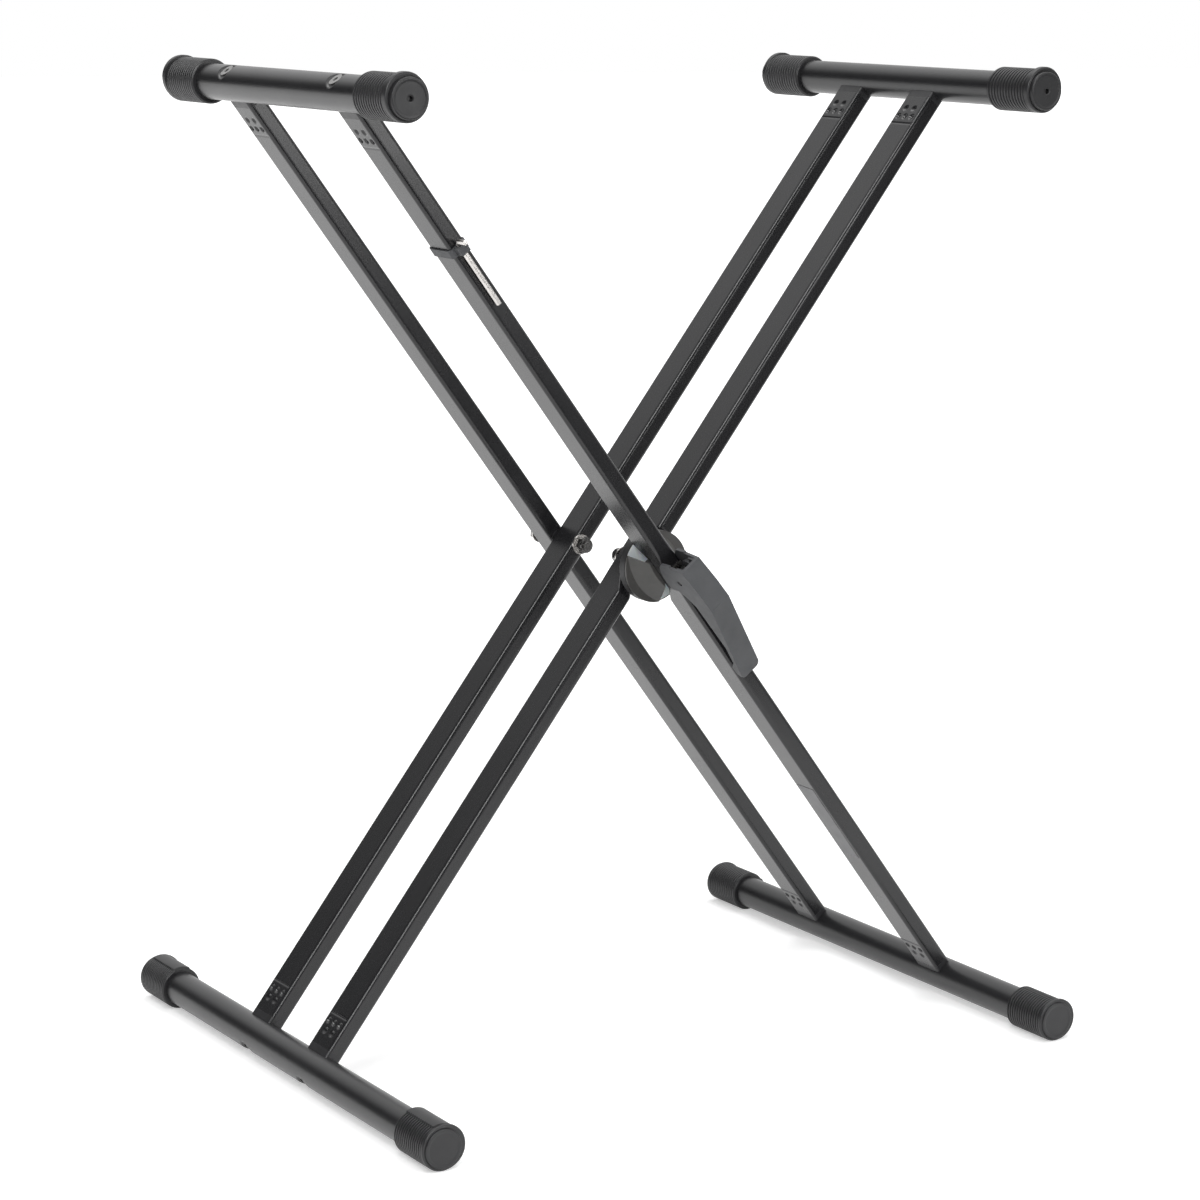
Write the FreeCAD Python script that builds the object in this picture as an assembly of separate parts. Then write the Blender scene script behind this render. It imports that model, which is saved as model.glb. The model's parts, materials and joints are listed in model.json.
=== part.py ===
"""Folding keyboard stand: two pairs of rectangular arms that cross at a clutch pivot.

Millimetres.  X runs across the opening of the X, Y runs from the lever side (-Y) to the back (+Y),
Z is up.  The origin is on the floor, straight below the pivot and midway along the round bars.

Each pair of arms is drawn in its own frame: s runs up along the arms from the pivot, y is the
stand's own Y, and n is square to both.  outer_frame() and inner_frame() put those frames in place.
"""
import FreeCAD
import Part
import math
import os

Vector = FreeCAD.Vector

# ---- driving dimensions: the two frames ------------------------------------------------------------
arm_angle = 52.4            # slope of every arm above the floor as the stand stands
bar_spacing = 983.0         # top bar to foot bar of one frame, axis to axis
pivot_above_middle = 1.5    # pivot above the middle of the arms, along them
outer_arm_y = 90.5          # middle of each outer arm, in front of and behind the mid-plane
inner_front_y = -41.5       # middle of the inner arm that carries the clutch
rear_arm_gap = 1.0          # between the two rear arms

# ---- driving dimensions: tubes ---------------------------------------------------------------------
arm_width = 15.0            # across the arm, in the plane of the X
arm_depth = 31.5            # along Y
arm_wall = 1.5
arm_corner = 3.0
bar_diameter = 28.6
bar_wall = 2.0
top_bar_length = 363.0
foot_bar_length = 487.6
bar_end_gap = 1.0           # bar end to the closed end inside a cap

# ---- driving dimensions: the pressed flats beside the clutch ---------------------------------------
flat_depth = 11.5           # how far the tube is pressed in
flat_half = 16.0            # half length of the flat
flat_ramp = 15.0            # length of each ramp that leads to it

# ---- driving dimensions: end inserts and their screws ----------------------------------------------
insert_flange = 4.5         # flange between the tube's end and the bar, at its thinnest
insert_plug = 28.0
insert_clearance = 0.1
crimp_radius = 5.0
crimp_depth = 0.7
crimp_from_end = 21.0       # row of three
crimp_offset = 9.0
dent_radius = 9.0
dent_depth = 0.45
dent_from_end = 12.5        # row of two, nearer the end
dent_offset = 5.5
screw_diameter = 6.0
screw_head = 12.0
screw_head_height = 3.0
screw_recess = 1.2          # head below the crown of the bar
screw_in_plug = 20.0
screw_socket = 4.0          # across the flats
screw_socket_depth = 2.2
screw_clearance = 0.2
dimple_margin = 1.4         # dimple rim beyond the head
dimple_wall = 1.6

# ---- driving dimensions: rubber end caps -----------------------------------------------------------
cap_radius = 18.0
cap_clearance = 0.08        # cap bore over bar
top_cap_length = 57.0
foot_cap_length = 47.0
cap_end_wall = 4.0
cap_collar = {"top": 6.0, "foot": 4.0}      # smooth off-centre collar
cap_collar_offset = 2.0
cap_boss = {"top": 3.5, "foot": 1.2}        # raised end face
cap_boss_radius = 15.8
cap_hole = 4.4              # in the top caps only
cap_hole_depth = 3.0
cap_rib_pitch = {"top": 3.65, "foot": 2.9}
cap_groove = 1.1
cap_groove_depth = 0.7
pad_height = 1.3            # smooth levelling pad on the foot caps
pad_half_angle = 25.0

# ---- driving dimensions: rear pivot ----------------------------------------------------------------
pivot_diameter = 8.0
pivot_clearance = 0.1
pivot_head_height = 5.3
pivot_head_flats = 13.0
pivot_nut_height = 8.0
pivot_thread_past_nut = 2.0
washer_radius = 8.5
washer_thickness = 1.6
spacer_radius = 8.5
running_gap = 0.3           # between faces that turn past each other

# ---- driving dimensions: clutch --------------------------------------------------------------------
disc_radius = 30.0
ring_radius = 29.2
ring_thickness = 3.5
ring_proud = 0.4            # ring stands out of its seat by this
rear_flange = 4.0
front_flange = 2.2
notch_floor_s = 9.5         # notches at both ends of the front half show the white ring
notch_mouth_s = 25.0
notch_mouth_n = 15.0
ring_front_y = -72.0        # friction face
shoulder_half_s = 28.5      # wide end of a clutch half's shoulder, along its arm
shoulder_half_n = 22.8
shoulder_corner_s = 25.0
shoulder_corner_n = 16.4
seat_half_s = 15.0          # narrow end, seated on the arm's flat
seat_half_n = 10.0
seat_corner_s = 13.4
seat_corner_n = 8.6
clutch_bore_clearance = 0.5
ring_seat_pins = 4
ring_pin_radius = 2.0
ring_pin_depth = 2.0
ring_pin_circle = 22.0
spring_wire = 1.6
spring_radius = 7.5         # to the wire's middle
spring_turns = 5
spring_pocket_clearance = 1.2
pocket_floor = 5.0          # left in the rear half under the spring

# ---- driving dimensions: clutch bolt, lever and pressure plate -------------------------------------
lever_pin_y = -120.5
lever_pin_diameter = 5.0
lever_pin_clearance = 0.08
eye_half_s = 6.0
eye_half_n = 4.8
eye_front = 6.0             # metal in front of the pin's middle
eye_back = 7.5
plate_thickness = 1.5
plate_half_s = 7.5
plate_half_n = 7.4
cam_half_n_inner = 5.1
cam_eccentricity = 1.8
lever_half_n = 10.3
lever_side_wall = 2.3
lever_web = 3.0
lever_pin_recess = 0.8
lever_top_front = (14.5, -16.0)      # corners of the side view: along the arm, behind the pin
lever_top_back = (18.6, 11.2)
lever_kick = (-9.0, -21.5)
lever_knee = (-26.5, -23.3)
lever_tip_front = (-109.5, 2.0)
lever_tip_back = (-104.0, 6.3)
lever_grip_back = (-97.0, 7.3)
lever_grip_front = (-90.0, 0.0)
lever_slab_back = (-72.0, -4.5)
lever_throat = (-26.0, -1.8)
lever_cheek = (-16.0, 4.5)
lever_heel = (-9.5, 12.5)
lever_tip_wall = 3.0
lever_tip_round = 4.5
ear_radius = 21.8           # ears reach back past the arm's front face
ear_bottom_s = -10.6
cheek_inner_n = 5.9         # thicker walls beside the mouth of the head
cheek_back = -4.2
cheek_bottom_s = -8.0
clutch_nut_height = 8.0
clutch_thread_past_nut = 2.5

# ---- driving dimensions: hex key, its clip, and the blank label ------------------------------------
key_flats = 4.0
key_bend = 2.8
key_long_leg = 62.0
key_short_leg = 12.5
key_below_bar = 141.5       # short leg below the axis of the top bar
key_clearance = 0.25
clip_width = 7.5
clip_wall = 1.3
clip_boss_wall = 1.6
clip_above = 0.4            # clip's upper edge to the start of the bend
label_length = 85.0
label_height = 22.0
label_thickness = 0.25
label_above_bar = 201.5      # middle of the label above the axis of the foot bar

# ---- worked-out sizes ------------------------------------------------------------------------------
bar_radius = bar_diameter / 2
upper_reach = bar_spacing / 2 - pivot_above_middle      # pivot to the axis of a top bar
lower_reach = bar_spacing / 2 + pivot_above_middle      # pivot to the axis of a foot bar
foot_axis_z = cap_radius
slope = math.radians(arm_angle)
pivot_z = foot_axis_z + lower_reach * math.sin(slope)
inner_rear_y = outer_arm_y - arm_depth - rear_arm_gap
arm_half = arm_depth / 2
arm_upper_end = upper_reach - bar_radius - insert_flange
arm_lower_end = -(lower_reach - bar_radius - insert_flange)
outer_front_face = -outer_arm_y - arm_half
outer_flat_y = -outer_arm_y + arm_half - flat_depth
inner_flat_y = inner_front_y - arm_half + flat_depth
inner_front_back = inner_front_y + arm_half
ring_back_y = ring_front_y + ring_thickness
rear_flange_back = ring_back_y + rear_flange
front_half_back = ring_front_y - running_gap
plate_front_y = outer_front_face - plate_thickness
cam_reach = plate_front_y - lever_pin_y - running_gap
cam_radius = cam_reach - cam_eccentricity
nut_inner_y = inner_front_back + washer_thickness + running_gap
key_half = key_flats / math.sqrt(3)
key_bend_s = upper_reach - key_below_bar
key_axis_y = outer_front_face - clip_wall - key_half - key_clearance
label_middle_s = label_above_bar - lower_reach
cap_end_y = {"top": top_bar_length / 2 + bar_end_gap + cap_end_wall + cap_boss["top"],
             "foot": foot_bar_length / 2 + bar_end_gap + cap_end_wall + cap_boss["foot"]}
cap_length = {"top": top_cap_length, "foot": foot_cap_length}
bar_length = {"top": top_bar_length, "foot": foot_bar_length}

# which way the off-centre side of each cap points, in degrees above +X
collar_turn = {"outer_top": 130.0, "inner_top": 60.0, "inner_foot": 15.0, "outer_foot": 8.0}
pad_turn = {"inner": 87.0, "outer": 8.0}


# ---- frames ----------------------------------------------------------------------------------------
def frame_placement(side):
    """Placement of an arm frame; side is +1 for the inner arms, -1 for the outer ones."""
    along = Vector(side * math.cos(slope), 0, math.sin(slope))
    depth = Vector(0, 1, 0)
    square = along.cross(depth)
    rows = FreeCAD.Matrix(along.x, depth.x, square.x, 0,
                          along.y, depth.y, square.y, 0,
                          along.z, depth.z, square.z, pivot_z,
                          0, 0, 0, 1)
    return FreeCAD.Placement(rows)


def placed(shape, side):
    """The shape moved from an arm frame to where it stands."""
    moved = shape.copy()
    moved.Placement = frame_placement(side).multiply(moved.Placement)
    return moved


def outer_frame(shape):
    return placed(shape, -1)


def inner_frame(shape):
    return placed(shape, 1)


def bar_axis(frame, end):
    """X and Z of a bar's axis."""
    side = 1 if frame == "inner" else -1
    reach = upper_reach if end == "top" else -lower_reach
    return side * reach * math.cos(slope), pivot_z + reach * math.sin(slope)


# ---- small shapes ----------------------------------------------------------------------------------
def box(s_min, s_max, y_min, y_max, n_min, n_max):
    return Part.makeBox(s_max - s_min, y_max - y_min, n_max - n_min, Vector(s_min, y_min, n_min))


def rod(radius, start, end):
    """Round rod between two points."""
    direction = end - start
    return Part.makeCylinder(radius, direction.Length, start, direction)


def rod_y(radius, y_min, y_max, s=0.0, n=0.0):
    return rod(radius, Vector(s, y_min, n), Vector(s, y_max, n))


def prism(points, n_min, n_max):
    """Outline in (s, y), extruded along n."""
    corners = [Vector(s, y, n_min) for s, y in points]
    face = Part.Face(Part.makePolygon(corners + corners[:1]))
    return face.extrude(Vector(0, 0, n_max - n_min))


def hexagon_y(flats, y_min, y_max, turn=0.0):
    """Hexagonal prism along y."""
    corner = flats / math.sqrt(3)
    points = []
    for index in range(6):
        angle = math.radians(60 * index + turn)
        points.append(Vector(corner * math.cos(angle), y_min, corner * math.sin(angle)))
    face = Part.Face(Part.makePolygon(points + points[:1]))
    return face.extrude(Vector(0, y_max - y_min, 0))


def rounded_section(s, y_middle, half_y, half_n, corner):
    """Closed rounded rectangle square to s."""
    if corner <= 0:
        corner = 0.01
    lines = []
    centres = [(half_y - corner, half_n - corner, 0), (-half_y + corner, half_n - corner, 90),
               (-half_y + corner, -half_n + corner, 180), (half_y - corner, -half_n + corner, 270)]
    ends = []
    for y_off, n_off, start in centres:
        ring = []
        for turn in (start, start + 45, start + 90):
            angle = math.radians(turn)
            ring.append(Vector(s, y_middle + y_off + corner * math.cos(angle),
                               n_off + corner * math.sin(angle)))
        lines.append(Part.Arc(*ring).toShape())
        ends.append((ring[0], ring[2]))
    for index in range(4):
        lines.append(Part.makeLine(ends[index][1], ends[(index + 1) % 4][0]))
    return Part.Wire(Part.__sortEdges__(lines))


def rounded_bar(s_min, s_max, y_middle, half_y, half_n, corner):
    face = Part.Face(rounded_section(s_min, y_middle, half_y, half_n, corner))
    return face.extrude(Vector(s_max - s_min, 0, 0))


# ---- arms ------------------------------------------------------------------------------------------
def flat_outline(face_y, inward, depth, half, ramp):
    """Side view of the pressed flat, from just outside the tube's face."""
    outside = face_y - inward * 5
    return [(-half - ramp, outside), (-half - ramp, face_y), (-half, face_y + inward * depth),
            (half, face_y + inward * depth), (half + ramp, face_y), (half + ramp, outside)]


def crimps(y_middle, end_s, inward):
    """Dents that lock the end insert, on both sides of the tube."""
    rows = [(crimp_from_end, crimp_radius, crimp_depth, (-crimp_offset, 0.0, crimp_offset)),
            (dent_from_end, dent_radius, dent_depth, (-dent_offset, dent_offset))]
    dents = []
    for from_end, radius, depth, offsets in rows:
        for y_off in offsets:
            for side in (-1, 1):
                centre_n = side * (arm_width / 2 + radius - depth)
                spot = Vector(end_s + inward * from_end, y_middle + y_off, centre_n)
                dents.append(Part.makeSphere(radius, spot))
    return dents


def arm(y_middle, bore, flat_side=0):
    """Rectangular tube; flat_side is the y side (+1, -1) that is pressed in, or 0."""
    long = rounded_bar(arm_lower_end, arm_upper_end, y_middle, arm_half, arm_width / 2, arm_corner)
    hollow = rounded_bar(arm_lower_end - 1, arm_upper_end + 1, y_middle, arm_half - arm_wall,
                         arm_width / 2 - arm_wall, arm_corner - arm_wall)
    if flat_side:
        inward = -flat_side
        ramp_turn = math.atan2(flat_depth, flat_ramp)
        spread = arm_wall * math.tan(ramp_turn / 2)
        outside = flat_outline(y_middle + flat_side * arm_half, inward, flat_depth, flat_half,
                               flat_ramp)
        inside = flat_outline(y_middle + flat_side * (arm_half - arm_wall), inward, flat_depth,
                              flat_half + spread, flat_ramp)
        long = long.cut(prism(outside, -arm_width, arm_width))
        hollow = hollow.cut(prism(inside, -arm_width, arm_width))
    tube = long.cut(hollow)
    tube = tube.cut(rod_y(bore / 2, y_middle - arm_depth, y_middle + arm_depth))
    dents = crimps(y_middle, arm_upper_end, -1) + crimps(y_middle, arm_lower_end, 1)
    return tube.cut(dents)


def end_insert(y_middle, end):
    """Plug in the arm's end, with a flange shaped to the bar."""
    sign = 1 if end == "top" else -1
    reach = upper_reach if end == "top" else lower_reach
    tube_end = abs(arm_upper_end if end == "top" else arm_lower_end)
    plug_half_y = arm_half - arm_wall - insert_clearance
    plug_half_n = arm_width / 2 - arm_wall - insert_clearance
    plug = rounded_bar(tube_end - insert_plug, tube_end, y_middle, plug_half_y, plug_half_n,
                       arm_corner - arm_wall)
    flange = rounded_bar(tube_end, tube_end + insert_flange + arm_width / 4, y_middle, arm_half,
                         arm_width / 2, arm_corner)
    body = plug.fuse(flange)
    body = body.cut(rod_y(bar_radius, y_middle - arm_depth, y_middle + arm_depth, s=reach))
    bore_end = reach - bar_radius - insert_flange - screw_in_plug - 1
    hole = rod((screw_diameter + screw_clearance) / 2, Vector(bore_end, y_middle, 0),
               Vector(reach, y_middle, 0))
    body = body.cut(hole)
    return body if sign > 0 else body.mirror(Vector(0, 0, 0), Vector(1, 0, 0))


# ---- round bars ------------------------------------------------------------------------------------
def dimple_cone(reach, y_middle, extra):
    """Cone of a screw's dimple, or of the metal round it when extra is the wall."""
    depth = screw_recess + screw_head_height
    throat = (screw_diameter + screw_clearance) / 2
    rim = screw_head / 2 + dimple_margin
    past_crown = 2.0
    flare = (rim - throat) * past_crown / depth
    return Part.makeCone(throat + extra, rim + flare + extra, depth + past_crown,
                         Vector(reach + bar_radius - depth, y_middle, 0), Vector(1, 0, 0))


def bar_rod(radius, half, reach):
    """Cylinder along y whose seam lies clear of the screw holes."""
    cylinder = rod_y(radius, -half, half, s=reach)
    cylinder.rotate(Vector(reach, 0, 0), Vector(0, 1, 0), 90)
    return cylinder


def bar(end, arm_ys):
    """Round bar with a dimpled screw hole opposite each arm."""
    sign = 1 if end == "top" else -1
    reach = upper_reach if end == "top" else lower_reach
    half = bar_length[end] / 2
    tube = bar_rod(bar_radius, half, reach)
    hollow = bar_rod(bar_radius - bar_wall, half + 1, reach)
    for y_middle in arm_ys:
        hollow = hollow.cut(dimple_cone(reach, y_middle, dimple_wall))
    tube = tube.cut(hollow)
    for y_middle in arm_ys:
        hole = rod((screw_diameter + screw_clearance) / 2, Vector(reach - bar_radius - 1, y_middle, 0),
                   Vector(reach + bar_radius, y_middle, 0))
        tube = tube.cut(hole).cut(dimple_cone(reach, y_middle, 0.0))
    return tube if sign > 0 else tube.mirror(Vector(0, 0, 0), Vector(1, 0, 0))


def bar_screw(y_middle, end):
    """Countersunk socket screw through the bar into the insert."""
    sign = 1 if end == "top" else -1
    reach = upper_reach if end == "top" else lower_reach
    head_top = reach + bar_radius - screw_recess
    tip = reach - bar_radius - insert_flange - screw_in_plug
    head = Part.makeCone(screw_diameter / 2, screw_head / 2, screw_head_height,
                         Vector(head_top - screw_head_height, y_middle, 0), Vector(1, 0, 0))
    shank = rod(screw_diameter / 2, Vector(tip, y_middle, 0),
                Vector(head_top - screw_head_height, y_middle, 0))
    corner = screw_socket / math.sqrt(3)
    points = []
    for index in range(6):
        angle = math.radians(60 * index)
        points.append(Vector(head_top - screw_socket_depth, y_middle + corner * math.cos(angle),
                             corner * math.sin(angle)))
    socket = Part.Face(Part.makePolygon(points + points[:1])).extrude(Vector(screw_socket_depth + 1, 0, 0))
    screw = head.fuse(shank).cut(socket)
    return screw if sign > 0 else screw.mirror(Vector(0, 0, 0), Vector(1, 0, 0))


# ---- end caps --------------------------------------------------------------------------------------
def cap_sleeve(end):
    """Ribbed sleeve and closed end, turned about Y; the outer end is at cap_end_y."""
    outer_end = cap_end_y[end]
    start = outer_end - cap_length[end]
    shoulder = outer_end - cap_boss[end]
    bore_end = shoulder - cap_end_wall
    bore = bar_radius + cap_clearance
    rib_zone = shoulder - cap_collar[end] - start
    ribs = round(rib_zone / cap_rib_pitch[end])
    pitch = rib_zone / ribs
    points = [(bore, start), (cap_radius - cap_groove_depth, start)]
    for index in range(ribs):
        groove_end = start + pitch * index + cap_groove
        points += [(cap_radius - cap_groove_depth, groove_end), (cap_radius, groove_end),
                   (cap_radius, start + pitch * (index + 1)),
                   (cap_radius - cap_groove_depth, start + pitch * (index + 1))]
    points.pop()
    points += [(cap_radius, shoulder), (cap_boss_radius, shoulder), (cap_boss_radius, outer_end),
               (0, outer_end), (0, bore_end), (bore, bore_end)]
    corners = [Vector(radius, y, 0) for radius, y in points]
    face = Part.Face(Part.makePolygon(corners + corners[:1]))
    return face.revolve(Vector(0, 0, 0), Vector(0, 1, 0), 360)


def cap_pad(end, turn):
    """Smooth raised pad along the sleeve of a foot cap."""
    outer_end = cap_end_y[end]
    start = outer_end - cap_length[end] + cap_groove
    finish = outer_end - cap_boss[end] - cap_collar[end]
    ring = rod_y(cap_radius + pad_height, start, finish).cut(
        rod_y(cap_radius - cap_groove_depth, start - 1, finish + 1))
    reach = 3 * cap_radius
    edge = reach * math.tan(math.radians(pad_half_angle))
    corners = [Vector(0, start, 0), Vector(reach, start, edge), Vector(reach, start, -edge)]
    wedge = Part.Face(Part.makePolygon(corners + corners[:1])).extrude(Vector(0, finish - start, 0))
    pad = ring.common(wedge)
    pad.rotate(Vector(0, 0, 0), Vector(0, 1, 0), -turn)
    return pad


def end_cap(frame, end, y_side):
    """One rubber cap on its bar; y_side is -1 in front and +1 behind."""
    turn = collar_turn[frame + "_" + end]
    outer_end = cap_end_y[end]
    shoulder = outer_end - cap_boss[end]
    shift = Vector(cap_collar_offset * math.cos(math.radians(turn)), 0,
                   cap_collar_offset * math.sin(math.radians(turn)))
    collar = rod(cap_radius, shift + Vector(0, shoulder - cap_collar[end], 0),
                 shift + Vector(0, shoulder, 0))
    collar = collar.cut(rod_y(bar_radius + cap_clearance, 0, shoulder - cap_end_wall))
    cap = cap_sleeve(end).fuse(collar)
    if end == "foot":
        cap = cap.fuse(cap_pad(end, pad_turn[frame]))
    else:
        cap = cap.cut(rod_y(cap_hole / 2, outer_end - cap_hole_depth, outer_end + 1))
    if y_side < 0:
        cap = cap.mirror(Vector(0, 0, 0), Vector(0, 1, 0))
    x, z = bar_axis(frame, end)
    cap.translate(Vector(x, 0, z))
    return cap


# ---- rear pivot ------------------------------------------------------------------------------------
def ring_y(outer_radius, inner_radius, y_min, y_max):
    return rod_y(outer_radius, y_min, y_max).cut(rod_y(inner_radius, y_min - 1, y_max + 1))


def lock_nut(y_min, y_max, bore):
    """Hexagonal nut with the round collar of a locking nut at its y_min end."""
    collar = 0.3 * (y_max - y_min)
    hexagon = hexagon_y(pivot_head_flats, y_min + collar, y_max)
    collar_radius = pivot_head_flats / 2 - 0.4
    nut = hexagon.fuse(rod_y(collar_radius, y_min, y_min + collar))
    return nut.cut(rod_y(bore, y_min - 1, y_max + 1))


def rear_pivot_parts():
    """Bolt, nut, washers and spacer of the rear pivot."""
    back_face = outer_arm_y + arm_half
    front_face = inner_rear_y - arm_half
    thread = pivot_diameter / 2
    loose = thread + pivot_clearance
    head_back = back_face + washer_thickness + pivot_head_height
    nut_back = front_face - washer_thickness - running_gap
    nut_front = nut_back - pivot_nut_height
    shank = rod_y(thread, nut_front - pivot_thread_past_nut, back_face + washer_thickness)
    head = hexagon_y(pivot_head_flats, back_face + washer_thickness, head_back, turn=20)
    return {
        "rear_pivot_bolt": shank.fuse(head),
        "rear_pivot_head_washer": ring_y(washer_radius, loose, back_face, back_face + washer_thickness),
        "rear_pivot_nut_washer": ring_y(washer_radius, loose, front_face - washer_thickness, front_face),
        "rear_pivot_lock_nut": lock_nut(nut_front, nut_back, thread),
        "rear_pivot_spacer": ring_y(spacer_radius, loose, outer_arm_y - arm_half - rear_arm_gap
                                    + running_gap, outer_arm_y - arm_half),
    }


# ---- clutch ----------------------------------------------------------------------------------------
def four_arc_wire(y, half_s, half_n, corner_s, corner_n):
    """Closed outline of four arcs through the corners and the middles of the sides."""
    middles = [Vector(half_s, y, 0), Vector(0, y, half_n), Vector(-half_s, y, 0), Vector(0, y, -half_n)]
    corners = [Vector(corner_s, y, -corner_n), Vector(corner_s, y, corner_n),
               Vector(-corner_s, y, corner_n), Vector(-corner_s, y, -corner_n)]
    arcs = []
    for index in range(4):
        arcs.append(Part.Arc(corners[index], middles[index], corners[(index + 1) % 4]).toShape())
    return Part.Wire(arcs)


def shoulder(seat_y, wide_y):
    """Body of a clutch half: narrow where it seats on the arm, wide at its disc."""
    narrow = four_arc_wire(seat_y, seat_half_s, seat_half_n, seat_corner_s, seat_corner_n)
    wide = four_arc_wire(wide_y, shoulder_half_s, shoulder_half_n, shoulder_corner_s, shoulder_corner_n)
    return Part.makeLoft([narrow, wide], True, True)


def clutch_bore():
    return pivot_diameter / 2 + clutch_bore_clearance


def clutch_rear_half():
    """Half that is seated on the inner arm, in the inner frame."""
    body = shoulder(inner_flat_y, rear_flange_back)
    body = body.fuse(rod_y(disc_radius, ring_front_y + ring_proud, rear_flange_back))
    body = body.cut(rod_y(ring_radius + insert_clearance, ring_front_y, ring_back_y))
    body = body.cut(rod_y(clutch_bore(), ring_front_y, inner_flat_y + 1))
    body = body.cut(rod_y(spring_radius + spring_pocket_clearance, ring_back_y - 1,
                          inner_flat_y - pocket_floor))
    return body.cut(ring_pins(ring_pin_radius + insert_clearance, insert_clearance))


def ring_pins(radius, extra):
    """Pins that key the friction ring to the rear half."""
    pins = []
    for index in range(ring_seat_pins):
        angle = 2 * math.pi * (index + 0.5) / ring_seat_pins
        pins.append(rod_y(radius, ring_back_y, ring_back_y + ring_pin_depth + extra,
                          s=ring_pin_circle * math.cos(angle), n=ring_pin_circle * math.sin(angle)))
    return pins


def friction_ring():
    ring = ring_y(ring_radius, spring_radius + spring_pocket_clearance, ring_front_y, ring_back_y)
    return ring.fuse(ring_pins(ring_pin_radius, 0.0))


def clutch_notches():
    """Wedges whose sides run through the corners of the seat and open to the rim of the disc."""
    slope_n = (notch_mouth_n - seat_corner_n) / (notch_mouth_s - seat_corner_s)
    far_s = disc_radius + 2
    far_n = seat_corner_n + slope_n * (far_s - seat_corner_s)
    floor_n = seat_corner_n + slope_n * (notch_floor_s - seat_corner_s)
    wedges = []
    for side in (-1, 1):
        points = [(side * notch_floor_s, -floor_n), (side * far_s, -far_n),
                  (side * far_s, far_n), (side * notch_floor_s, floor_n)]
        corners = [Vector(s, outer_flat_y - 1, n) for s, n in points]
        face = Part.Face(Part.makePolygon(corners + corners[:1]))
        wedges.append(face.extrude(Vector(0, front_half_back - outer_flat_y + 2, 0)))
    return wedges


def clutch_front_half():
    """Half that is seated on the outer arm, in the outer frame."""
    flange_front = front_half_back - front_flange
    body = shoulder(outer_flat_y, flange_front)
    body = body.fuse(rod_y(disc_radius, flange_front, front_half_back))
    body = body.cut(clutch_notches())
    return body.cut(rod_y(clutch_bore(), outer_flat_y - 1, front_half_back + 1))


def helix_wire(radius, pitch, turns, start_y):
    """Helix about y as quarter-turn arcs, each through its own mid point."""
    def at(turn):
        angle = 2 * math.pi * turn
        return Vector(radius * math.cos(angle), start_y + pitch * turn, radius * math.sin(angle))
    arcs = []
    for quarter in range(4 * turns):
        turn = quarter / 4
        arcs.append(Part.Arc(at(turn), at(turn + 0.125), at(turn + 0.25)).toShape())
    return Part.Wire(arcs)


def clutch_spring():
    """Release spring in the rear half's pocket, in the inner frame."""
    back = inner_flat_y - pocket_floor - spring_wire / 2 - 0.1
    front = ring_front_y + spring_wire / 2 + 0.1
    pitch = (back - front) / spring_turns
    print("spring: gap between turns %.2f mm" % (pitch - spring_wire))
    path = helix_wire(spring_radius, pitch, spring_turns, front)
    start = path.Edges[0].valueAt(path.Edges[0].FirstParameter)
    tangent = path.Edges[0].tangentAt(path.Edges[0].FirstParameter)
    section = Part.Wire(Part.makeCircle(spring_wire / 2, start, tangent))
    return path.makePipeShell([section], True, False)


def clutch_bolt():
    """Draw bolt: an eye for the lever's pin, a long shank and a threaded end."""
    eye = box(-eye_half_s, eye_half_s, lever_pin_y - eye_front, lever_pin_y + eye_back,
              -eye_half_n, eye_half_n)
    thread_end = nut_inner_y + clutch_nut_height + clutch_thread_past_nut
    shank = rod_y(pivot_diameter / 2, lever_pin_y + eye_back, thread_end)
    hole = rod(lever_pin_diameter / 2, Vector(0, lever_pin_y, -lever_half_n),
               Vector(0, lever_pin_y, lever_half_n))
    return eye.fuse(shank).cut(hole)


def clutch_nut():
    """Locking nut behind the inner arm, its collar at the back."""
    nut = lock_nut(-nut_inner_y - clutch_nut_height, -nut_inner_y, pivot_diameter / 2)
    return nut.mirror(Vector(0, 0, 0), Vector(0, 1, 0))


def clutch_washer():
    return ring_y(washer_radius, pivot_diameter / 2 + pivot_clearance, inner_front_back,
                  inner_front_back + washer_thickness)


def pressure_plate():
    """Steel plate that the lever's cams bear on."""
    plate = box(-plate_half_s, plate_half_s, plate_front_y, outer_front_face, -plate_half_n, plate_half_n)
    return plate.cut(rod_y(clutch_bore(), plate_front_y - 1, outer_front_face + 1))


def lever_points(corners):
    """Corners measured from the pin, as (s, y)."""
    return [(s, lever_pin_y + back) for s, back in corners]


def lever_outline():
    """Side view of the lever without its ears, in (s, y)."""
    return lever_points([lever_top_back, lever_top_front, lever_kick, lever_knee, lever_tip_front,
                         lever_tip_back, lever_grip_back, lever_grip_front, lever_slab_back,
                         lever_throat, lever_cheek, lever_heel])


def lever_hollow():
    """Outline of the channel inside the lever, open to the arm and at the top."""
    outside = lever_pin_y + ear_radius + 1
    above = lever_top_back[0] + 5
    web = [(s, y + lever_web) for s, y in lever_points([lever_top_front, lever_kick, lever_knee])]
    tip = (lever_tip_back[0], lever_pin_y + lever_tip_front[1] + lever_tip_wall)
    return [(above, outside), (above, web[0][1])] + web + [tip, (tip[0], outside)]


def lever_ears():
    """Round ends of the ears, about the pin."""
    disc = rod(ear_radius, Vector(0, lever_pin_y, -lever_half_n), Vector(0, lever_pin_y, lever_half_n))
    return disc.common(box(ear_bottom_s, lever_top_back[0], lever_pin_y, lever_pin_y + ear_radius + 1,
                           -lever_half_n, lever_half_n))


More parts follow.
